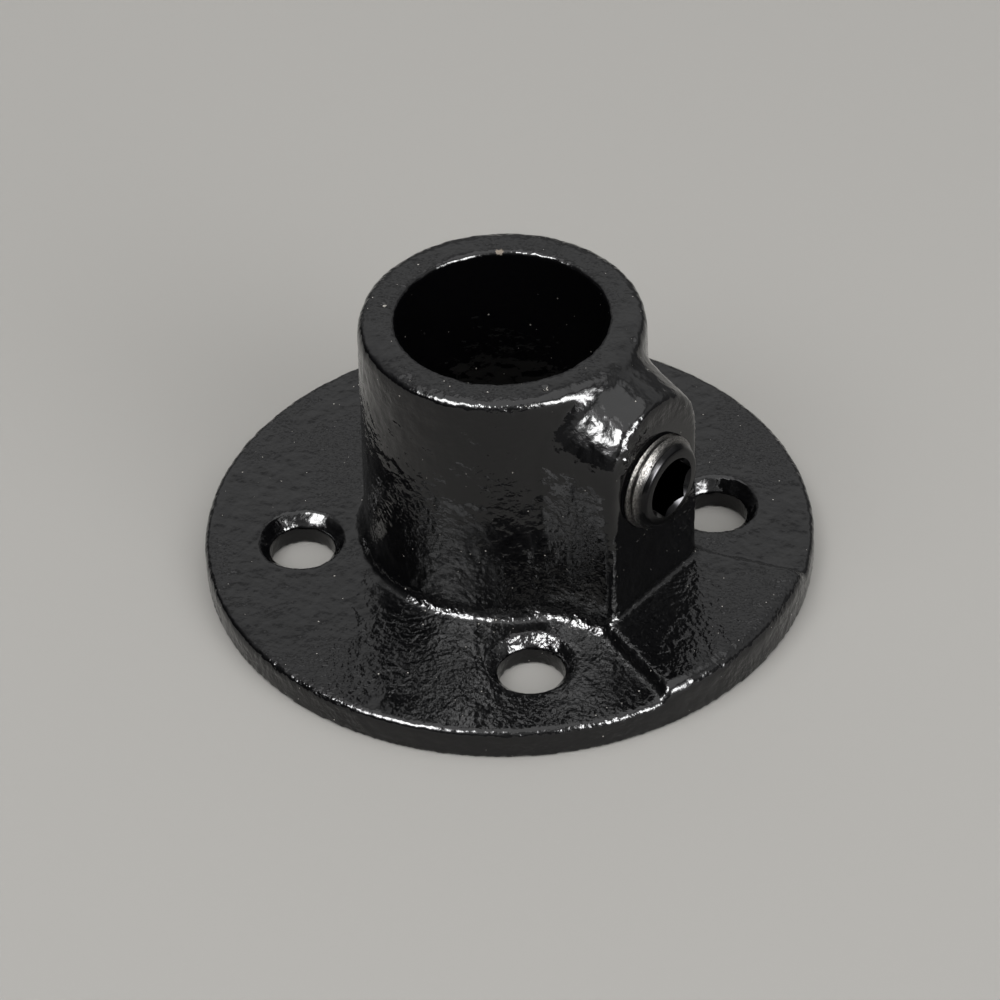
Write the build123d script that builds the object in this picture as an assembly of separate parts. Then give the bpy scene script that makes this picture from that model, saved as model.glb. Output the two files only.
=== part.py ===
from build123d import *
import os
from math import cos, radians, sqrt, tan

# Tube clamp base flange: one iron casting that stands on a floor or wall and holds the end
# of a tube, with one socket set screw that bites on the tube. Lengths are in millimetres.
# The tube axis is Z, the underside lies on Z = 0 and the set screw points out along +X.

# ---- Driving dimensions ------------------------------------------------------------

# Tube socket
bore_diameter = 27.6
socket_wall = 4.6
overall_height = 39.2
rim_outer_rounding = 1.0
bore_mouth_chamfer = 0.4
socket_foot_fillet = 2.4

# Round flange
flange_diameter = 82.4
flange_thickness = 4.25
flange_edge_rounding = 1.0

# Fixing holes, countersunk from above; the first lies at this angle from the boss
hole_count = 4
hole_diameter = 8.6
hole_circle_diameter = 56.2
first_hole_angle = 45.0
countersink_diameter = 11.8
countersink_angle = 90.0

# Set screw boss: an arched block that grows out of the socket and narrows to a flat face
boss_reach = 25.0
boss_face_width = 18.6
boss_side_draft = 10.0
boss_crown_height = 36.2
boss_crown_slope = 20.0
boss_edge_rounding = 1.45
boss_to_socket_fillet = 1.6

# Raised pad on the flange, which fans out from the foot of the boss to the edge
pad_rise = 1.75
pad_start_width = 19.7
pad_flare_angle = 19.0
pad_side_slope = 25.0
pad_side_rounding = 0.4
pad_edge_rounding = 1.75

# Socket set screw and its hole
screw_axis_height = 24.2
screw_diameter = 13.0
screw_hole_clearance = 0.05
screw_hole_countersink = 0.8
screw_length = 12.8
screw_stands_proud = 2.5
screw_head_chamfer = 1.15
screw_tip_chamfer = 1.4
tip_cup_diameter = 7.0
tip_cup_depth = 1.1
hex_across_flats = 7.2
hex_socket_depth = 5.6
hex_mouth_chamfer = 0.5
hex_corner_angle = 40.0

# ---- Sizes that follow from them ---------------------------------------------------

bore_radius = bore_diameter / 2
socket_radius = bore_radius + socket_wall
flange_radius = flange_diameter / 2
pad_top_height = flange_thickness + pad_rise
screw_radius = screw_diameter / 2
screw_hole_radius = screw_radius + screw_hole_clearance
screw_outer_end = boss_reach + screw_stands_proud
screw_tip = screw_outer_end - screw_length

standing = (Align.CENTER, Align.CENTER, Align.MIN)
to_back = Rot(0, 0, 180)


def at_height(part, height):
    """Edges of the part that lie wholly at one height."""
    level = part.edges().filter_by(lambda edge: edge.bounding_box().size.Z < 1e-3)
    return level.filter_by(lambda edge: abs(edge.center().Z - height) < 1e-3)


def from_axis(point):
    """Distance of a point from the tube axis."""
    return sqrt(point.X**2 + point.Y**2)


def rounded_disc(radius, height, rounding):
    """Disc that stands on Z = 0, with its top edge rounded; its seam is at the back."""
    disc = to_back * Cylinder(radius, height, align=standing)
    return fillet(at_height(disc, height), rounding)


def boss_section(distance):
    """Arched outline of the boss, square to X, at a distance from the tube axis."""
    inward = boss_reach - distance
    half_width = boss_face_width / 2 + inward * tan(radians(boss_side_draft))
    crown = boss_crown_height + inward * tan(radians(boss_crown_slope))
    spring_line = crown - half_width
    outline = Polyline(
        (-half_width, spring_line), (-half_width, 0), (half_width, 0), (half_width, spring_line)
    )
    outline += ThreePointArc((half_width, spring_line), (0, crown), (-half_width, spring_line))
    return Plane(origin=(distance, 0, 0), x_dir=(0, 1, 0), z_dir=(1, 0, 0)) * make_face(outline)


def boss_block():
    """Boss from inside the socket wall to its flat face, with the face's edge rounded."""
    inner_end = bore_radius - socket_wall / 2
    block = loft([boss_section(inner_end), boss_section(boss_reach)], ruled=True)
    face = block.faces().sort_by(Axis.X)[-1]
    face_outline = face.edges().sort_by(Axis.Z)[1:]
    return fillet(face_outline, boss_edge_rounding)


def socket_with_boss():
    """Socket and boss run together above the rim, blended, then cut off level and rounded."""
    spare_height = socket_radius
    post_height = overall_height + spare_height
    post = to_back * Cylinder(socket_radius, post_height, align=standing)
    joined = post + boss_block()

    def on_socket_wall(edge):
        return all(abs(from_axis(edge @ t) - socket_radius) < 1e-2 for t in (0, 0.25, 0.5, 0.75, 1))

    def between_ends(edge):
        return edge.bounding_box().max.Z > 1 and edge.bounding_box().min.Z < post_height - 1

    seam = joined.edges().filter_by(on_socket_wall).filter_by(between_ends)
    seam = seam.filter_by(lambda edge: edge.center().X > 0)
    blended = fillet(seam, boss_to_socket_fillet)
    above_rim = Pos(0, 0, overall_height) * Box(
        4 * flange_radius, 4 * flange_radius, 2 * spare_height, align=standing
    )
    level = blended - above_rim
    return fillet(at_height(level, overall_height), rim_outer_rounding)


def raised_pad():
    """Fan-shaped pad with sloping sides, whose outer edge rolls off to the flange's edge."""
    start = boss_reach - boss_edge_rounding - socket_foot_fillet
    end = 1.2 * flange_radius

    def half_width(distance):
        return pad_start_width / 2 + (distance - boss_reach) * tan(radians(pad_flare_angle))

    corners = (
        (start, -half_width(start)),
        (end, -half_width(end)),
        (end, half_width(end)),
        (start, half_width(start)),
    )
    looking_down = Plane(origin=(0, 0, pad_top_height), x_dir=(1, 0, 0), z_dir=(0, 0, -1))
    fan = extrude(
        looking_down * Polygon(*corners, align=None),
        amount=pad_rise + flange_thickness / 2,
        taper=-pad_side_slope,
    )
    pad = fan & rounded_disc(flange_radius, pad_top_height, pad_edge_rounding)

    def on_side_edge(edge):
        box = edge.bounding_box()
        return box.max.Z > pad_top_height - 1e-2 and box.size.X > 1 and abs(edge.center().Y) > 5

    return fillet(pad.edges().filter_by(on_side_edge), pad_side_rounding)


def fixing_hole_cutter():
    """Through hole with a cone opened to the countersink's diameter at the flange's top."""
    hole_radius = hole_diameter / 2
    sink_radius = countersink_diameter / 2
    sink_depth = (sink_radius - hole_radius) / tan(radians(countersink_angle / 2))
    hole = Cylinder(hole_radius, 3 * flange_thickness)
    sink = Pos(0, 0, flange_thickness - sink_depth) * Cone(
        hole_radius, sink_radius, sink_depth, align=standing
    )
    above = Pos(0, 0, flange_thickness) * Cylinder(sink_radius, pad_rise, align=standing)
    return hole + sink + above


def tube_bore_cutter():
    """Bore right through the casting, with a small chamfer at its mouth and its foot."""
    bore = Cylinder(bore_radius, 3 * overall_height)
    mouth_radius = bore_radius + bore_mouth_chamfer
    mouth = Cone(bore_radius, mouth_radius, bore_mouth_chamfer, align=standing)
    foot = Cone(mouth_radius, bore_radius, bore_mouth_chamfer, align=standing)
    return bore + Pos(0, 0, overall_height - bore_mouth_chamfer) * mouth + foot


def along_boss(distance):
    """Place on the set screw's axis, facing outwards, at a distance from the tube axis."""
    return Plane(origin=(distance, 0, screw_axis_height), x_dir=(0, 1, 0), z_dir=(1, 0, 0)).location


def screw_hole_cutter():
    """Hole from the bore out through the boss, countersunk where it leaves the face."""
    hole = Cylinder(screw_hole_radius, 2 * boss_reach, align=standing)
    mouth_radius = screw_hole_radius + screw_hole_countersink
    mouth = Cone(screw_hole_radius, mouth_radius, screw_hole_countersink, align=standing)
    return along_boss(0) * hole + along_boss(boss_reach - screw_hole_countersink) * mouth


def flange_casting():
    """The whole casting, blended at the foot and then machined."""
    flange = rounded_disc(flange_radius, flange_thickness, flange_edge_rounding)
    casting = flange + socket_with_boss()
    rim_edge = at_height(casting, flange_thickness).sort_by(lambda edge: from_axis(edge @ 0))[-1]
    foot = at_height(casting, flange_thickness).filter_by(
        lambda edge: from_axis(edge @ 0) < from_axis(rim_edge @ 0) - 0.1
    )
    casting = fillet(foot, socket_foot_fillet) + raised_pad()

    hole_places = PolarLocations(hole_circle_diameter / 2, hole_count, first_hole_angle)
    casting -= [place * fixing_hole_cutter() for place in hole_places]
    casting -= tube_bore_cutter()
    return casting - screw_hole_cutter()


def set_screw():
    """Threaded plug with a hexagon socket outside and a cup point inside, at its place."""
    blank = Cylinder(screw_radius, screw_length, align=standing)
    tip_edge, head_edge = blank.edges().filter_by(GeomType.CIRCLE).sort_by(Axis.Z)
    blank = chamfer(head_edge, screw_head_chamfer)
    tip_edge = blank.edges().filter_by(GeomType.CIRCLE).sort_by(Axis.Z)[0]
    blank = chamfer(tip_edge, screw_tip_chamfer)

    hexagon = Rot(0, 0, hex_corner_angle) * RegularPolygon(
        hex_across_flats / 2, 6, major_radius=False
    )
    hex_floor = screw_length - hex_socket_depth
    hex_cut = extrude(Pos(0, 0, hex_floor) * hexagon, amount=hex_socket_depth)
    corner_radius = hex_across_flats / 2 / cos(radians(30))
    mouth = Pos(0, 0, screw_length - hex_mouth_chamfer) * Cone(
        corner_radius - hex_mouth_chamfer, corner_radius, hex_mouth_chamfer, align=standing
    )
    cup = Cone(tip_cup_diameter / 2, tip_cup_diameter / 2 - tip_cup_depth, tip_cup_depth,
               align=standing)
    return along_boss(screw_tip) * (blank - hex_cut - mouth - cup)


os.makedirs("parts", exist_ok=True)
export_step(flange_casting(), "parts/flange_casting.step")
export_step(set_screw(), "parts/set_screw.step")
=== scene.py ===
from math import cos, pi, radians, sin, tan

import bpy
from mathutils import Matrix, Quaternion, Vector, kdtree


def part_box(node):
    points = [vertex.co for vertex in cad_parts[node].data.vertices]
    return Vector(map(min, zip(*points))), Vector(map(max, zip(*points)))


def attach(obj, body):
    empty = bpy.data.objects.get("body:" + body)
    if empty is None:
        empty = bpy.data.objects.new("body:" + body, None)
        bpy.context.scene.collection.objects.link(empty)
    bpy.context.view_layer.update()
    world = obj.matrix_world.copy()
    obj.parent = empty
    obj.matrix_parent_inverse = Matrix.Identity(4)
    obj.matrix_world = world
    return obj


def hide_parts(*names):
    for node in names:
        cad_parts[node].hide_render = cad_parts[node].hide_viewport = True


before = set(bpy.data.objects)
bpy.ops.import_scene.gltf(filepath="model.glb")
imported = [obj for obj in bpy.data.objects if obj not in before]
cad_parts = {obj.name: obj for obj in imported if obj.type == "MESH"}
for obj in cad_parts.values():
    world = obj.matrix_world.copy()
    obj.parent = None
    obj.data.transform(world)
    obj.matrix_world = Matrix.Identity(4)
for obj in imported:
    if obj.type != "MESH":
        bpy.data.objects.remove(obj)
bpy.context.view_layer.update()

# Tube clamp base flange: a sand-cast iron flange under gloss black paint, with a bare steel set
# screw. The flange's underside lies on Z = 0, the tube axis is Z and the screw points along +X.

MM = 0.001

# Points nearer together than this are one point
SAME_PLACE = 0.001 * MM

# ---- Sizes of the casting's skin, in metres --------------------------------------------

SKIN_MESH_SIZE = 0.3 * MM
SKIN_TRIANGLES = 190000
SMOOTHING = 0.5
PAINT_EDGE_PASSES = 5
SHOULDER_PASSES = 60
RIM_PASSES = 55
PAD_SIDE_PASSES = 40
SKIN_SHARP_ANGLE = radians(60)

# Lumps of the sand mould, each with its size and height. More of the skin moves in than out.
SAND_MID_LEVEL = 0.6
CASTING_WAVES = (5.5 * MM, 0.14 * MM)
SAND_LUMPS = (1.6 * MM, 0.2 * MM)
SAND_GRAINS = (0.75 * MM, 0.08 * MM)

# Screw hole: how far round it the skin is machined or filled, and the drill that cuts it afresh
HOLE_COUNTERSINK = 0.8 * MM
HOLE_EDGE_REACH = 2.0 * MM
HOLE_MOUTH_REACH = 1.3 * MM
HOLE_WALL_REACH = 0.5 * MM
HOLE_CLEARANCE = 0.06 * MM
DRILL_INNER_END = 10.0 * MM
DRILL_OVERSHOOT = 1.0 * MM
DRILL_SIDES = 128

RIM_HEIGHT = 39.2 * MM
RIM_EDGE_REACH = 2.4 * MM
BOSS_FACE = 25.0 * MM
BORE_RADIUS = 13.8 * MM

# The socket's outside is wider than the solid's at the rim and wider still at its back, and has
# draft down to its foot
SOCKET_RADIUS = 18.4 * MM
SWELL_AT_RIM = 0.3 * MM
SWELL_AT_BACK = 0.45 * MM
BACK = Vector((-0.652, 0.758))
SOCKET_DRAFT = radians(1.35)
SWELL_INNER_EDGE = 15.5 * MM
SWELL_OUTER_EDGE = 21.3 * MM

# Saddle between the socket and the crown of the boss, on each side of it
SADDLE = Vector((17.5, 5.5, 37.0)) * MM
SADDLE_REACH = 5.5 * MM

# Side of the raised pad, which fans out past the boss
PAD_SIDE_AT_BOSS_FACE = 10.25 * MM
PAD_FLARE = radians(19)
PAD_SIDE_REACH = 2.2 * MM
PAD_SIDE_LOWEST = 3.0 * MM

# Chip in the paint, on the mouth of the bore
CHIP_PLACE = Vector((-9.1, 10.7, 39.1)) * MM

# Pits on the rim where grains of sand have broken out: place, radius and share of the full depth
# The paint also gets a pale spot in each pit, which is a painted highlight for the glint it catches
SAND_PIT_DEPTH = 0.45 * MM
SAND_PITS = (
    ((-1.1 * MM, -17.0 * MM, RIM_HEIGHT), 0.65 * MM, 1.0),
    ((13.9 * MM, -8.3 * MM, RIM_HEIGHT), 0.75 * MM, 1.0),
    ((16.7 * MM, 6.3 * MM, RIM_HEIGHT), 0.7 * MM, 1.0),
    ((-13.7 * MM, -7.3 * MM, RIM_HEIGHT), 0.6 * MM, 0.7),
)

# Beads and runs in the paint: place, radius and share of the full height
PAINT_BEAD_HEIGHT = 0.5 * MM
PAINT_BEADS = (
    ((BOSS_FACE, -6.4 * MM, 31.7 * MM), 0.6 * MM, 1.0),
    ((BOSS_FACE, -5.9 * MM, 33.0 * MM), 0.5 * MM, 0.85),
    ((BOSS_FACE, -6.9 * MM, 30.0 * MM), 0.5 * MM, 0.85),
    ((BOSS_FACE, -3.9 * MM, 33.3 * MM), 0.5 * MM, 0.7),
    ((BOSS_FACE, -3.9 * MM, 16.4 * MM), 0.35 * MM, 0.7),
)

# ---- Sizes of the set screw ------------------------------------------------------------

# 1/4 inch parallel pipe thread, 19 turns to the inch
THREAD_PITCH = 25.4 * MM / 19
THREAD_DEPTH = 0.8 * MM
THREAD_FLANK_ANGLE = radians(27.5)
THREAD_ROOT_FLAT = 0.2 * MM
THREAD_ROUNDING = 0.05 * MM
THREAD_STEPS = 96
THREAD_SAME_PLACE = 0.002 * MM
CREST_SEAM_DEPTH = 0.22 * MM
CREST_AT_TOP = 24.64 * MM
ROD_SPARE = 0.3 * MM
ROD_CUT_TOLERANCE = 0.0001 * MM
BLANK_SPARE = 0.01 * MM
BLANK_SIDES = 192
CONE_SIDES = 96
CONE_SPARE = 0.2 * MM
HEX_ACROSS_FLATS = 7.2 * MM
HEX_CORNER_RADIUS = HEX_ACROSS_FLATS / 2 / cos(pi / 6)
HEX_DEPTH = 5.6 * MM
HEX_CORNER_ANGLE = radians(40)
HEX_MOUTH_CHAMFER = 0.5 * MM
HEX_OVERSHOOT = 1.0 * MM
HEAD_TAPER_LENGTH = 1.7 * MM
HEAD_TAPER_DEPTH = 1.2 * MM
HEAD_ROUNDING = 0.3 * MM
TIP_CHAMFER = 1.4 * MM
CUP_DIAMETER = 7.0 * MM
CUP_DEPTH = 1.1 * MM
SCREW_SHARP_ANGLE = radians(35)

screw_low, screw_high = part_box("set_screw")
SCREW_RADIUS = (screw_high.y - screw_low.y) / 2
SCREW_AXIS_HEIGHT = (screw_high.z + screw_low.z) / 2
SCREW_TIP = screw_low.x
SCREW_END = screw_high.x

# ---- Finishes: a noise's scale is its number of lumps to the metre ---------------------

PAINT_COLOUR = "060607"
PAINT_IOR = 1.45
PAINT_ROUGHNESS = 0.09
PATCH_SCALE = 90.0
PATCH_EDGES = (0.42, 0.6)
FINEST_GRAIN_SHARE = 0.3
GRAIN_SCALE = 1400.0
GRAIN_DEPTH = 0.18 * MM
FURROW_SCALE = 420.0
FURROW_DEPTH = 0.1 * MM
SMOOTH_ROUND_HOLE = (0.8 * MM, 4.0 * MM)
BORE_GRAIN_SHARE = 0.3
BORE_GRAIN_REACH = 0.6 * MM

# Specks of dust, and ragged spots: pale spots in the pits, which are a painted highlight for the
# glints that the pits catch, and the chip. A spot's edge lies where the distance from its middle
# and the raggedness times a noise add up to one of the ragged edges.
DUST_AND_GLINT_COLOUR = "A39F98"
DUST_SCALE = 700.0
DUST_EDGES = (0.06, 0.09)
CHIP_COLOUR = "7A6E60"
DULL_ROUGHNESS = 0.8
RAGGED_SCALE = 2500.0
RAGGED_EDGES = (1.0 * MM, 1.15 * MM)
CHIP_RAGGEDNESS = 1.2 * MM
PIT_GLINT_RAGGEDNESS = 1.8 * MM

# Steel: dark below the first depth under the crests, bare above the second, and dark again
# towards the end face
OXIDE_COLOUR = "242425"
SCORE_COLOURS = ("383736", "74726F")
STEEL_ROUGHNESS = (0.17, 0.3)
BARE_DEPTHS = (1.3 * MM, 0.2 * MM)
BARE_FROM_TAPER_START = 0.3 * MM
DARK_BEFORE_END_FACE = 0.5 * MM
END_FACE_BARENESS = 0.1
SCORE_SCALE = 5000.0
SCORE_DEPTH = 0.1 * MM
SCORE_EDGES = (0.38, 0.6)
SCORE_STRENGTHS = (0.05, 1.0)
SCORE_STRETCH = 3.0 * MM

# ---- Stage -----------------------------------------------------------------------------

FLOOR_COLOUR = "979591"
FLOOR_ROUGHNESS = 0.9
FLOOR_SIZE = 6.0
FLOOR_DROP = 0.1 * MM

# Azimuth is 0 in front, along -Y. Angles are in degrees and the lens and sensor in millimetres.
CAMERA_AZIMUTH = 40.7
CAMERA_ELEVATION = 40.22
CAMERA_ROLL = -2.17
CAMERA_DISTANCE = 479.0 * MM
CAMERA_LENS = 126.83
CAMERA_SENSOR_WIDTH = 36
CAMERA_NEAR_CLIP = 0.05
CAMERA_AIM = Vector((-3.42, 2.27, 4.75)) * MM

SOFTBOX_DISTANCE = 1.2
SOFTBOX_DEPTH = 0.05
SOFTBOX_LIGHT = 2.3
SOFTBOX_FACE = 40.0
SOFTBOX_GLOW_RADII = (0.1, 0.46)
SOFTBOX_GLOW_LEVELS = (1.0, 0.04)

# The room's brightness at each height of a direction: floor level 0, straight up 1
ROOM_LEVELS = ((0.3, 0.2), (0.5, 0.76), (0.7, 0.76), (0.8, 0.4), (0.9, 1.8), (1.0, 1.8))
ROOM_DARK_SIDE_EDGES = (0.45, 0.85)
ROOM_DARK_SIDE_LEVEL = 0.15


# ---- Small tools -----------------------------------------------------------------------

def srgb(hex_colour):
    """Linear red, green, blue and alpha of an sRGB hex colour such as "0A0A0B"."""
    values = [int(hex_colour[i:i + 2], 16) / 255 for i in (0, 2, 4)]
    linear = [v / 12.92 if v <= 0.04045 else ((v + 0.055) / 1.055) ** 2.4 for v in values]
    return (*linear, 1.0)


def add_node(tree, kind, settings=None, inputs=None):
    """Adds a node; an input's value is a number or colour, or another node's output socket."""
    node = tree.nodes.new(kind)
    for name, value in (settings or {}).items():
        setattr(node, name, value)
    for name, value in (inputs or {}).items():
        if isinstance(value, bpy.types.NodeSocket):
            tree.links.new(value, node.inputs[name])
        else:
            node.inputs[name].default_value = value
    return node


def add_map(tree, value, from_range=(0.0, 1.0), to_range=(0.0, 1.0), smooth=False):
    """The value carried from one range to the other, and held at the ends."""
    return add_node(
        tree, "ShaderNodeMapRange", {"interpolation_type": "SMOOTHSTEP" if smooth else "LINEAR"}, {
            "Value": value, "From Min": from_range[0], "From Max": from_range[1],
            "To Min": to_range[0], "To Max": to_range[1]}).outputs["Result"]


def add_math(tree, operation, *operands):
    """The result of an operation on numbers."""
    node = add_node(tree, "ShaderNodeMath", {"operation": operation}, dict(enumerate(operands)))
    return node.outputs["Value"]


def add_vector_math(tree, operation, *operands):
    """The result of an operation on vectors, which is a number for a distance, length or product."""
    node = add_node(tree, "ShaderNodeVectorMath", {"operation": operation}, dict(enumerate(operands)))
    is_number = operation in ("DISTANCE", "LENGTH", "DOT_PRODUCT")
    return node.outputs["Value" if is_number else "Vector"]


def add_mix(tree, factor, first, second):
    """The first colour where the factor is 0, and the second where it is 1."""
    return add_node(tree, "ShaderNodeMix", {"data_type": "RGBA"}, {
        "Factor": factor, "A": first, "B": second}).outputs["Result"]


def new_material(name):
    """A material with its node tree and its shader."""
    material = bpy.data.materials.new(name)
    material.use_nodes = True
    return material, material.node_tree, material.node_tree.nodes["Principled BSDF"]


def fade(distance, reach):
    """1 at no distance, and 0 at the reach and beyond."""
    return max(0.0, cos(min(distance / reach, 1.0) * pi / 2))


def distance_to_screw_axis(place):
    return Vector((place.y, place.z - SCREW_AXIS_HEIGHT)).length


def work_on(piece):
    """Leaves only this piece selected, and makes it the active one."""
    bpy.ops.object.select_all(action="DESELECT")
    piece.select_set(True)
    bpy.context.view_layer.objects.active = piece


def modify(piece, kind, **settings):
    """Adds a modifier with its settings and applies it."""
    work_on(piece)
    modifier = piece.modifiers.new(kind.lower(), kind)
    for name, value in settings.items():
        setattr(modifier, name, value)
    bpy.ops.object.modifier_apply(modifier=modifier.name)


def merge_doubles(piece, distance):
    """Makes one point of the points that lie nearer together than the distance."""
    work_on(piece)
    bpy.ops.object.mode_set(mode="EDIT")
    bpy.ops.mesh.select_all(action="SELECT")
    bpy.ops.mesh.remove_doubles(threshold=distance)
    bpy.ops.object.mode_set(mode="OBJECT")


def settle_in_place(piece):
    """Puts the piece's place into its mesh, so that its object sits at the origin."""
    work_on(piece)
    bpy.ops.object.transform_apply(location=True, rotation=True, scale=True)


def cut_with(piece, cutter, operation):
    """Cuts the piece with a cutter, or trims it to one. The cutter is then removed."""
    modify(piece, "BOOLEAN", operation=operation, object=cutter, solver="EXACT")
    bpy.data.objects.remove(cutter)


# ---- The casting -----------------------------------------------------------------------

def noise_texture(name, size):
    """A cloudy texture whose lumps are of this size."""
    texture = bpy.data.textures.new(name, "CLOUDS")
    texture.noise_scale = size
    texture.noise_depth = 2
    return texture


def painted_casting():
    """The casting's skin: an even mesh on the solid, softened at its edges as paint does, with the
    waves, lumps, grains and pits that a sand mould leaves, and beads where the paint has run."""
    skin = bpy.data.objects.new("painted_casting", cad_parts["flange_casting"].data.copy())
    bpy.context.scene.collection.objects.link(skin)
    skin.data.materials.clear()
    merge_doubles(skin, SAME_PLACE)
    modify(skin, "REMESH", mode="VOXEL", voxel_size=SKIN_MESH_SIZE)
    modify(skin, "SMOOTH", factor=SMOOTHING, iterations=PAINT_EDGE_PASSES)
    fill_hole_mouth(skin)
    draw_out_socket(skin)
    soften(skin, "shoulder", SHOULDER_PASSES, nearness_to_saddle)
    soften(skin, "rim_edge", RIM_PASSES, nearness_to_rim_edge)
    soften(skin, "pad_sides", PAD_SIDE_PASSES, nearness_to_pad_side)

    as_cast = skin.vertex_groups.new(name="as_cast")
    for vertex in skin.data.vertices:
        if vertex.co.z > SKIN_MESH_SIZE:
            as_cast.add([vertex.index], 1.0 - nearness_to_screw_hole(vertex.co), "REPLACE")
    for name, (size, depth) in (
        ("casting_waves", CASTING_WAVES), ("sand_lumps", SAND_LUMPS), ("sand_grains", SAND_GRAINS),
    ):
        modify(
            skin, "DISPLACE", texture=noise_texture(name, size), texture_coords="LOCAL",
            strength=depth, mid_level=SAND_MID_LEVEL, vertex_group="as_cast",
        )
    raise_spots(skin, "paint_beads", PAINT_BEADS, PAINT_BEAD_HEIGHT)
    raise_spots(skin, "sand_pits", SAND_PITS, -SAND_PIT_DEPTH)
    ratio = SKIN_TRIANGLES / sum(len(face.vertices) - 2 for face in skin.data.polygons)
    modify(skin, "DECIMATE", decimate_type="COLLAPSE", ratio=min(1.0, ratio))
    keep_to_envelope(skin)
    cut_screw_hole(skin)
    work_on(skin)
    bpy.ops.object.shade_smooth_by_angle(angle=SKIN_SHARP_ANGLE)
    return skin


def fill_hole_mouth(skin):
    """Fills the solid's countersink, so that the thread comes out of the boss's flat face. Points
    down to the filled depth come out onto the face, and those down to twice that spread out
    behind them."""
    for vertex in skin.data.vertices:
        filled = HOLE_MOUTH_REACH - (distance_to_screw_axis(vertex.co) - SCREW_RADIUS)
        sunk = BOSS_FACE - vertex.co.x
        if sunk < 2 * filled:
            vertex.co.x = BOSS_FACE - max(0.0, 2 * (sunk - filled))


def draw_out_socket(skin):
    """Moves the socket's outside wall outwards, more and more towards its foot, and most at its
    back, as if the core of its mould had sat a little off the middle."""
    for vertex in skin.data.vertices:
        reach = vertex.co.xy.length
        near_screw = distance_to_screw_axis(vertex.co) < SCREW_RADIUS + HOLE_WALL_REACH
        in_screw_hole = vertex.co.x > 0 and near_screw
        if SWELL_INNER_EDGE < reach < SWELL_OUTER_EDGE and not in_screw_hole:
            inner_share = (reach - SWELL_INNER_EDGE) / (SOCKET_RADIUS - SWELL_INNER_EDGE)
            outer_share = (SWELL_OUTER_EDGE - reach) / (SWELL_OUTER_EDGE - SOCKET_RADIUS)
            swell = SWELL_AT_RIM + (RIM_HEIGHT - vertex.co.z) * tan(SOCKET_DRAFT)
            swell += SWELL_AT_BACK * max(0.0, vertex.co.xy.normalized().dot(BACK)) ** 2
            vertex.co.xy *= 1 + swell * min(inner_share, outer_share) / reach


def nearness_to_saddle(place):
    """1 in the saddle where the boss's crown runs up into the rim, and 0 out of its reach."""
    distance = (Vector((place.x, abs(place.y), place.z)) - SADDLE).length
    return fade(distance, SADDLE_REACH)


def nearness_to_rim_edge(place):
    """1 on the rim's outer edge, and 0 out of its reach."""
    edge_radius = SOCKET_RADIUS + SWELL_AT_RIM
    distance = Vector((place.xy.length - edge_radius, place.z - RIM_HEIGHT)).length
    return fade(distance, RIM_EDGE_REACH)


def nearness_to_pad_side(place):
    """1 along the sloping sides of the raised pad, and 0 out of their reach."""
    side = PAD_SIDE_AT_BOSS_FACE + (place.x - BOSS_FACE) * tan(PAD_FLARE)
    distance = abs(abs(place.y) - side) * cos(PAD_FLARE)
    beyond_boss = place.x > BOSS_FACE - PAD_SIDE_REACH and place.z > PAD_SIDE_LOWEST
    return fade(distance, PAD_SIDE_REACH) if beyond_boss else 0.0


def nearness_to_screw_hole(place):
    """1 on the machined mouth of the screw hole, and 0 out on the boss's face."""
    outside = max(0.0, distance_to_screw_axis(place) - SCREW_RADIUS - HOLE_COUNTERSINK)
    distance = Vector((place.x - BOSS_FACE, outside)).length
    return fade(distance, HOLE_EDGE_REACH)


def soften(skin, name, passes, nearness):
    """Smooths a part of the skin, most where the nearness of its points is 1."""
    group = skin.vertex_groups.new(name=name)
    for vertex in skin.data.vertices:
        weight = nearness(vertex.co)
        if weight > 0:
            group.add([vertex.index], weight, "REPLACE")
    modify(skin, "SMOOTH", factor=SMOOTHING, iterations=passes, vertex_group=name)


def keep_to_envelope(skin):
    """Brings points that a lump has pushed past the solid's outermost sizes back onto them."""
    low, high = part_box("flange_casting")
    for vertex in skin.data.vertices:
        vertex.co.z = max(low.z, min(high.z, vertex.co.z))
        reach = vertex.co.xy.length
        if reach > high.x:
            vertex.co.xy *= high.x / reach


def cut_screw_hole(skin):
    """Cuts the tapped hole afresh, so that the skin stays clear of the screw."""
    outer_end = BOSS_FACE + DRILL_OVERSHOOT
    bpy.ops.object.select_all(action="DESELECT")
    bpy.ops.mesh.primitive_cylinder_add(
        vertices=DRILL_SIDES, radius=SCREW_RADIUS + HOLE_CLEARANCE, depth=outer_end - DRILL_INNER_END,
        location=((outer_end + DRILL_INNER_END) / 2, 0, SCREW_AXIS_HEIGHT), rotation=(0, pi / 2, 0),
    )
    drill = bpy.context.object
    settle_in_place(drill)
    cut_with(skin, drill, "DIFFERENCE")


def raise_spots(skin, name, spots, height):
    """Swells the skin out at each spot, most in its middle, or sinks it where height is negative."""
    tree = kdtree.KDTree(len(skin.data.vertices))
    for vertex in skin.data.vertices:
        tree.insert(vertex.co, vertex.index)
    tree.balance()
    group = skin.vertex_groups.new(name=name)
    for place, radius, share in spots:
        for _, index, distance in tree.find_range(place, radius):
            group.add([index], share * cos(distance / radius * pi / 2) ** 2, "REPLACE")
    modify(skin, "DISPLACE", strength=height, mid_level=0.0, vertex_group=name)


# ---- The set screw ---------------------------------------------------------------------

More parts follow.
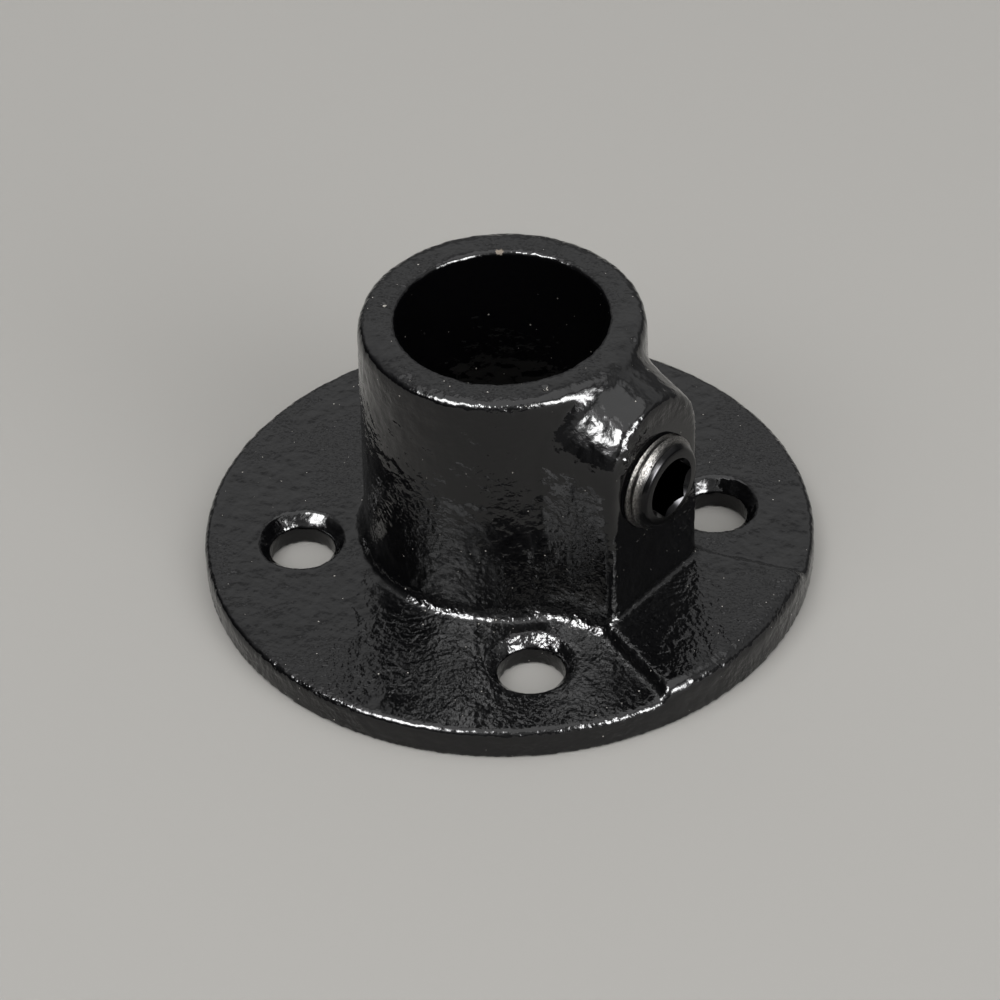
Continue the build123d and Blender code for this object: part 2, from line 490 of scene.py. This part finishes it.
def thread_profile():
    """One pitch of the thread, as a line in the XZ plane above the screw's axis. Rolling leaves a
    fine seam in the middle of the crest."""
    root = SCREW_RADIUS - THREAD_DEPTH
    flank = THREAD_DEPTH * tan(THREAD_FLANK_ANGLE)
    crest_flat = THREAD_PITCH - THREAD_ROOT_FLAT - 2 * flank
    turns_below = int((CREST_AT_TOP - SCREW_TIP) / THREAD_PITCH) + 2
    start = CREST_AT_TOP - (turns_below + 0.5) * THREAD_PITCH
    bpy.ops.object.select_all(action="DESELECT")
    bpy.ops.mesh.primitive_plane_add(size=THREAD_PITCH, location=(0, 0, 0))
    profile = bpy.context.object
    profile.name = "threaded_set_screw"
    bpy.ops.object.mode_set(mode="EDIT")
    bpy.ops.mesh.select_all(action="SELECT")
    bpy.ops.mesh.merge(type="CENTER")
    bpy.ops.transform.translate(value=(start, 0, SCREW_AXIS_HEIGHT + root))
    steps = (
        (THREAD_ROOT_FLAT / 2, 0),
        (flank, THREAD_DEPTH),
        (crest_flat / 2, -CREST_SEAM_DEPTH),
        (crest_flat / 2, CREST_SEAM_DEPTH),
        (flank, -THREAD_DEPTH),
        (THREAD_ROOT_FLAT / 2, 0),
    )
    for along, outwards in steps:
        bpy.ops.mesh.extrude_vertices_move(TRANSFORM_OT_translate={"value": (along, 0, outwards)})
    bpy.ops.mesh.select_all(action="SELECT")
    bpy.ops.mesh.bevel(offset=THREAD_ROUNDING, segments=2, affect="VERTICES")
    bpy.ops.object.mode_set(mode="OBJECT")
    return profile


def threaded_rod():
    """A rod with the thread all along it, longer than the screw at both ends."""
    rod = thread_profile()
    bpy.context.scene.cursor.location = (0, 0, SCREW_AXIS_HEIGHT)
    work_on(rod)
    bpy.ops.object.origin_set(type="ORIGIN_CURSOR")
    turns = int((SCREW_END - SCREW_TIP) / THREAD_PITCH) + 5
    modify(
        rod, "SCREW", axis="X", angle=2 * pi, screw_offset=THREAD_PITCH, iterations=turns,
        steps=THREAD_STEPS, render_steps=THREAD_STEPS,
    )
    merge_doubles(rod, THREAD_SAME_PLACE)
    for end, outside in ((SCREW_TIP - ROD_SPARE, -1), (SCREW_END + ROD_SPARE, 1)):
        bpy.ops.object.mode_set(mode="EDIT")
        bpy.ops.mesh.select_all(action="SELECT")
        bpy.ops.mesh.bisect(
            plane_co=(end, 0, SCREW_AXIS_HEIGHT), plane_no=(outside, 0, 0),
            use_fill=True, clear_outer=True, threshold=ROD_CUT_TOLERANCE,
        )
        bpy.ops.mesh.select_all(action="SELECT")
        bpy.ops.mesh.normals_make_consistent(inside=False)
        bpy.ops.object.mode_set(mode="OBJECT")
    settle_in_place(rod)
    return rod


def turned_blank():
    """The plain bar that the thread is cut on, with a tapered head and a chamfered tip."""
    radius = SCREW_RADIUS + BLANK_SPARE
    taper_start = SCREW_END - HEAD_TAPER_LENGTH
    bpy.ops.object.select_all(action="DESELECT")
    bpy.ops.mesh.primitive_cylinder_add(
        vertices=BLANK_SIDES, radius=radius, depth=taper_start - SCREW_TIP,
        location=((taper_start + SCREW_TIP) / 2, 0, SCREW_AXIS_HEIGHT), rotation=(0, pi / 2, 0),
    )
    blank = bpy.context.object
    settle_in_place(blank)
    select_end(blank, taper_start, "FACE")
    narrowing = (radius - HEAD_TAPER_DEPTH) / radius
    bpy.ops.mesh.extrude_region_move(TRANSFORM_OT_translate={"value": (HEAD_TAPER_LENGTH, 0, 0)})
    bpy.ops.transform.resize(
        value=(1, narrowing, narrowing), center_override=(SCREW_END, 0, SCREW_AXIS_HEIGHT))
    bpy.ops.object.mode_set(mode="OBJECT")
    for end, offset, segments in ((SCREW_END, HEAD_ROUNDING, 4), (SCREW_TIP, TIP_CHAMFER, 1)):
        select_end(blank, end, "EDGE")
        bpy.ops.mesh.bevel(offset=offset, segments=segments, affect="EDGES")
        bpy.ops.object.mode_set(mode="OBJECT")
    return blank


def select_end(piece, end, part):
    """Opens edit mode with the face, or its rim's edges, that lie in the plane X = end selected."""
    work_on(piece)
    mesh = piece.data
    for parts in (mesh.vertices, mesh.edges, mesh.polygons):
        parts.foreach_set("select", [False] * len(parts))
    on_end = [abs(v.co.x - end) < SAME_PLACE for v in mesh.vertices]
    for item in mesh.polygons if part == "FACE" else mesh.edges:
        item.select = all(on_end[i] for i in item.vertices)
    bpy.ops.object.mode_set(mode="EDIT")
    bpy.ops.mesh.select_mode(type=part)


def hexagon_key():
    """The space of the hexagon socket."""
    bpy.ops.object.select_all(action="DESELECT")
    bpy.ops.mesh.primitive_cylinder_add(
        vertices=6, radius=HEX_CORNER_RADIUS, depth=HEX_DEPTH + HEX_OVERSHOOT,
        location=(SCREW_END - HEX_DEPTH / 2 + HEX_OVERSHOOT / 2, 0, SCREW_AXIS_HEIGHT),
        rotation=(0, pi / 2, 0),
    )
    key = bpy.context.object
    settle_in_place(key)
    key.data.transform(
        Matrix.Translation((0, 0, SCREW_AXIS_HEIGHT))
        @ Matrix.Rotation(HEX_CORNER_ANGLE - pi / 2, 4, "X")
        @ Matrix.Translation((0, 0, -SCREW_AXIS_HEIGHT))
    )
    return key


def cone_at(end, wide_radius, narrow_radius, depth, inwards):
    """A cone on the screw's axis that is wide at one end face and narrows into the screw."""
    bpy.ops.object.select_all(action="DESELECT")
    bpy.ops.mesh.primitive_cone_add(
        vertices=CONE_SIDES, radius1=wide_radius, radius2=narrow_radius, depth=depth,
        location=(end + inwards * depth / 2, 0, SCREW_AXIS_HEIGHT),
        rotation=(0, inwards * pi / 2, 0),
    )
    cone = bpy.context.object
    settle_in_place(cone)
    return cone


def threaded_set_screw():
    """The set screw: a threaded rod trimmed to the blank, with a hexagon socket and a cup point."""
    screw = threaded_rod()
    cut_with(screw, turned_blank(), "INTERSECT")
    cut_with(screw, hexagon_key(), "DIFFERENCE")
    mouth = cone_at(
        SCREW_END + CONE_SPARE, HEX_CORNER_RADIUS + CONE_SPARE, HEX_CORNER_RADIUS - HEX_MOUTH_CHAMFER,
        HEX_MOUTH_CHAMFER + CONE_SPARE, -1,
    )
    cut_with(screw, mouth, "DIFFERENCE")
    cup = cone_at(
        SCREW_TIP - CONE_SPARE, CUP_DIAMETER / 2 + CONE_SPARE, CUP_DIAMETER / 2 - CUP_DEPTH,
        CUP_DEPTH + CONE_SPARE, 1,
    )
    cut_with(screw, cup, "DIFFERENCE")
    work_on(screw)
    bpy.ops.object.shade_smooth_by_angle(angle=SCREW_SHARP_ANGLE)
    return screw


# ---- Paint and steel -------------------------------------------------------------------

def gloss_black_paint():
    """Gloss black paint over sand-cast iron: a deep black with sharp reflections, broken up by the
    grain of the sand under it, with a little dust, one chip, and pale spots in the pits that are a
    painted highlight for the glints the pits catch."""
    material, tree, shader = new_material("gloss_black_paint_on_cast_iron")
    shader.inputs["IOR"].default_value = PAINT_IOR
    place = add_node(tree, "ShaderNodeTexCoord").outputs["Object"]
    tree.links.new(cast_grain(tree, place), shader.inputs["Normal"])

    ragged = add_node(tree, "ShaderNodeTexNoise", inputs={
        "Vector": place, "Scale": RAGGED_SCALE}).outputs["Fac"]
    dust_and_pit_glints = dust(tree, place)
    # Pale spots in the sand pits: a painted highlight, standing in for the glints that the pits catch
    for pit, _, _ in SAND_PITS:
        pit_glint = ragged_spot(tree, place, pit, ragged, PIT_GLINT_RAGGEDNESS)
        dust_and_pit_glints = add_math(tree, "MAXIMUM", dust_and_pit_glints, pit_glint)
    chip = ragged_spot(tree, place, CHIP_PLACE, ragged, CHIP_RAGGEDNESS)
    dust_and_glints = add_mix(tree, dust_and_pit_glints, srgb(PAINT_COLOUR), srgb(DUST_AND_GLINT_COLOUR))
    tree.links.new(add_mix(tree, chip, dust_and_glints, srgb(CHIP_COLOUR)), shader.inputs["Base Color"])
    dull = add_math(tree, "MAXIMUM", dust_and_pit_glints, chip)
    roughness = add_map(tree, dull, to_range=(PAINT_ROUGHNESS, DULL_ROUGHNESS))
    tree.links.new(roughness, shader.inputs["Roughness"])
    return material


def cast_grain(tree, place):
    """Bumps of the sand under the paint: fine grain and long furrows. They are stronger in some
    places than in others, faint in the bore, and gone round the mouth of the screw hole."""
    patches = add_node(tree, "ShaderNodeTexNoise", inputs={
        "Vector": place, "Scale": PATCH_SCALE, "Detail": 1.0}).outputs["Fac"]
    coarseness = add_map(tree, patches, PATCH_EDGES, (FINEST_GRAIN_SHARE, 1.0), smooth=True)
    from_screw = add_vector_math(tree, "DISTANCE", place, (BOSS_FACE, 0, SCREW_AXIS_HEIGHT))
    smooth_radii = [SCREW_RADIUS + reach for reach in SMOOTH_ROUND_HOLE]
    cast = add_map(tree, from_screw, smooth_radii, smooth=True)
    from_tube_axis = add_vector_math(tree, "LENGTH", add_vector_math(tree, "MULTIPLY", place, (1, 1, 0)))
    bore_edges = (BORE_RADIUS, BORE_RADIUS + BORE_GRAIN_REACH)
    outside = add_map(tree, from_tube_axis, bore_edges, (BORE_GRAIN_SHARE, 1.0), smooth=True)
    strength = add_math(tree, "MULTIPLY", coarseness, cast)
    strength = add_math(tree, "MULTIPLY", strength, outside)

    grain = add_node(tree, "ShaderNodeTexNoise", inputs={
        "Vector": place, "Scale": GRAIN_SCALE, "Detail": 2.0, "Roughness": 0.45})
    furrows = add_node(tree, "ShaderNodeTexNoise", {"noise_type": "RIDGED_MULTIFRACTAL"}, {
        "Vector": place, "Scale": FURROW_SCALE, "Detail": 2.0, "Distortion": 0.6})
    grained = add_node(tree, "ShaderNodeBump", inputs={
        "Strength": strength, "Distance": GRAIN_DEPTH, "Height": grain.outputs["Fac"]})
    furrowed = add_node(tree, "ShaderNodeBump", {"invert": True}, {
        "Strength": strength, "Distance": FURROW_DEPTH, "Height": furrows.outputs["Fac"],
        "Normal": grained.outputs["Normal"]})
    return furrowed.outputs["Normal"]


def dust(tree, place):
    """1 on specks of dust: one at the middle of each cell, each of its own size."""
    cells = add_node(tree, "ShaderNodeTexVoronoi", inputs={"Vector": place, "Scale": DUST_SCALE})
    speck_size = add_node(tree, "ShaderNodeSeparateColor", inputs={"Color": cells.outputs["Color"]})
    spread = add_math(tree, "DIVIDE", cells.outputs["Distance"], speck_size.outputs["Red"])
    return add_map(tree, spread, DUST_EDGES, (1.0, 0.0))


def ragged_spot(tree, place, middle, ragged, raggedness):
    """1 on a small spot with a ragged edge, and 0 off it."""
    from_middle = add_vector_math(tree, "DISTANCE", place, middle)
    edge = add_math(tree, "MULTIPLY_ADD", ragged, raggedness, from_middle)
    return add_map(tree, edge, RAGGED_EDGES, (1.0, 0.0))


def rolled_steel():
    """Steel of the set screw: bright where the thread is bare, scored round by the rolling of it,
    and dark and smooth with oiled oxide towards its end face and in the hexagon."""
    material, tree, shader = new_material("rolled_thread_steel")
    shader.inputs["Metallic"].default_value = 1.0
    place = add_node(tree, "ShaderNodeTexCoord").outputs["Object"]
    along = add_node(tree, "ShaderNodeSeparateXYZ", inputs={"Vector": place}).outputs["X"]
    across = add_vector_math(tree, "MULTIPLY_ADD", place, (0, 1, 1), (0, 0, -SCREW_AXIS_HEIGHT))
    from_axis = add_vector_math(tree, "LENGTH", across)
    bare_radii = [SCREW_RADIUS - depth for depth in BARE_DEPTHS]
    off_root = add_map(tree, from_axis, bare_radii, smooth=True)
    taper = (SCREW_END - HEAD_TAPER_LENGTH + BARE_FROM_TAPER_START, SCREW_END - DARK_BEFORE_END_FACE)
    off_taper = add_map(tree, along, taper, (1.0, END_FACE_BARENESS), smooth=True)
    bare = add_math(tree, "MULTIPLY", off_root, off_taper)
    tree.links.new(add_map(tree, bare, to_range=STEEL_ROUGHNESS), shader.inputs["Roughness"])

    scores = roll_scores(tree, along, across, from_axis)
    dark_score, bright_score = SCORE_COLOURS
    scored = add_mix(tree, add_map(tree, scores, SCORE_EDGES), srgb(dark_score), srgb(bright_score))
    tree.links.new(add_mix(tree, bare, srgb(OXIDE_COLOUR), scored), shader.inputs["Base Color"])
    bump = add_node(tree, "ShaderNodeBump", inputs={
        "Strength": add_map(tree, bare, to_range=SCORE_STRENGTHS), "Distance": SCORE_DEPTH,
        "Height": scores})
    tree.links.new(bump.outputs["Normal"], shader.inputs["Normal"])
    return material


def roll_scores(tree, along, across, from_axis):
    """A noise in streaks that run round the screw: fine along it and across it, and long round it."""
    parts = add_node(tree, "ShaderNodeSeparateXYZ", inputs={"Vector": across})
    angle = add_math(tree, "ARCTAN2", parts.outputs["Y"], parts.outputs["Z"])
    unrolled = add_node(tree, "ShaderNodeCombineXYZ", inputs={
        "X": along, "Y": from_axis, "Z": add_math(tree, "MULTIPLY", angle, SCORE_STRETCH)})
    return add_node(tree, "ShaderNodeTexNoise", inputs={
        "Vector": unrolled.outputs["Vector"], "Scale": SCORE_SCALE, "Detail": 3.0, "Roughness": 0.7,
    }).outputs["Fac"]


# ---- Floor, camera and lamps -----------------------------------------------------------

def pale_floor():
    """A plain pale floor that the part lies on."""
    bpy.ops.object.select_all(action="DESELECT")
    bpy.ops.mesh.primitive_plane_add(size=FLOOR_SIZE, location=(0, 0, -FLOOR_DROP))
    floor = bpy.context.object
    floor.name = "floor"
    material, _, shader = new_material("pale_floor")
    shader.inputs["Base Color"].default_value = srgb(FLOOR_COLOUR)
    shader.inputs["Roughness"].default_value = FLOOR_ROUGHNESS
    floor.data.materials.append(material)


def towards(azimuth, elevation):
    """Direction from the part to a place in the room."""
    a, e = radians(azimuth), radians(elevation)
    return Vector((sin(a) * cos(e), -cos(a) * cos(e), sin(e)))


def place_facing(piece, middle, back, roll=0.0):
    """Puts a camera or lamp at a place, with its back to a direction and turned by a roll."""
    bpy.context.scene.collection.objects.link(piece)
    piece.location = middle
    piece.rotation_mode = "QUATERNION"
    piece.rotation_quaternion = back.to_track_quat("Z", "Y") @ Quaternion((0, 0, 1), radians(roll))


def camera():
    """A long lens that looks down at the part from its front right."""
    data = bpy.data.cameras.new("camera")
    data.lens = CAMERA_LENS
    data.sensor_width = CAMERA_SENSOR_WIDTH
    data.clip_start = CAMERA_NEAR_CLIP
    piece = bpy.data.objects.new("camera", data)
    back = towards(CAMERA_AZIMUTH, CAMERA_ELEVATION)
    place_facing(piece, CAMERA_AIM + back * CAMERA_DISTANCE, back, CAMERA_ROLL)
    bpy.context.scene.camera = piece


def softbox(name, azimuth, elevation, width, height):
    """A square-on area light. Its soft light falls on everything at a plain level, and its bright
    face shows only in reflections, as a lamp's does in gloss paint."""
    back = towards(azimuth, elevation)
    parts = (
        ("light", SOFTBOX_LIGHT, SOFTBOX_DISTANCE + SOFTBOX_DEPTH),
        ("face", SOFTBOX_FACE, SOFTBOX_DISTANCE),
    )
    for part, radiance, distance in parts:
        data = bpy.data.lights.new(f"{name}_{part}", "AREA")
        data.shape = "RECTANGLE"
        data.size, data.size_y = width, height
        data.energy = radiance * pi * width * height
        lamp = bpy.data.objects.new(f"{name}_{part}", data)
        place_facing(lamp, back * distance, back)
        lamp.visible_camera = False
        lamp.visible_glossy = part == "face"
        lamp.visible_diffuse = part == "light"
        if part == "face":
            fade_towards_edges(data)


def fade_towards_edges(lamp_data):
    """Makes a lamp's face brightest in its middle, as the bulb behind the cloth does."""
    lamp_data.use_nodes = True
    tree = lamp_data.node_tree
    on_face = add_node(tree, "ShaderNodeNewGeometry").outputs["Parametric"]
    from_middle = add_vector_math(tree, "DISTANCE", on_face, (0.5, 0.5, 0.0))
    glow = add_map(tree, from_middle, SOFTBOX_GLOW_RADII, SOFTBOX_GLOW_LEVELS, smooth=True)
    tree.links.new(glow, tree.nodes["Emission"].inputs["Strength"])


def room():
    """A dim room: its ceiling is the palest, and the side on the camera's left is nearly dark."""
    world = bpy.data.worlds.new("studio")
    bpy.context.scene.world = world
    world.use_nodes = True
    tree = world.node_tree
    tree.nodes.clear()
    out = add_node(tree, "ShaderNodeOutputWorld")
    direction = add_node(tree, "ShaderNodeTexCoord").outputs["Generated"]
    height = add_node(tree, "ShaderNodeSeparateXYZ", inputs={"Vector": direction}).outputs["Z"]
    levels = add_node(tree, "ShaderNodeValToRGB", inputs={"Fac": height})
    stops = levels.color_ramp.elements
    while len(stops) < len(ROOM_LEVELS):
        stops.new(0.5)
    for stop, (position, level) in zip(stops, ROOM_LEVELS):
        stop.position = position
        stop.color = (level, level, level, 1)
    leftwards = add_vector_math(tree, "DOT_PRODUCT", direction, towards(CAMERA_AZIMUTH - 90, 0))
    brightness = add_map(
        tree, leftwards, ROOM_DARK_SIDE_EDGES, (1.0, ROOM_DARK_SIDE_LEVEL), smooth=True)
    background = add_node(tree, "ShaderNodeBackground", inputs={
        "Color": levels.outputs["Color"], "Strength": brightness})
    tree.links.new(background.outputs["Background"], out.inputs["Surface"])


# ---- The scene -------------------------------------------------------------------------

casting = painted_casting()
casting.data.materials.append(gloss_black_paint())
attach(casting, "casting")
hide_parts("flange_casting")

screw = threaded_set_screw()
screw.data.materials.append(rolled_steel())
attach(screw, "screw")
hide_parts("set_screw")

pale_floor()
camera()
room()
softbox("left_softbox", azimuth=CAMERA_AZIMUTH - 47, elevation=50, width=1.0, height=0.8)
softbox("right_softbox", azimuth=CAMERA_AZIMUTH + 43, elevation=27, width=0.9, height=1.1)
bpy.context.scene.view_settings.view_transform = "Standard"
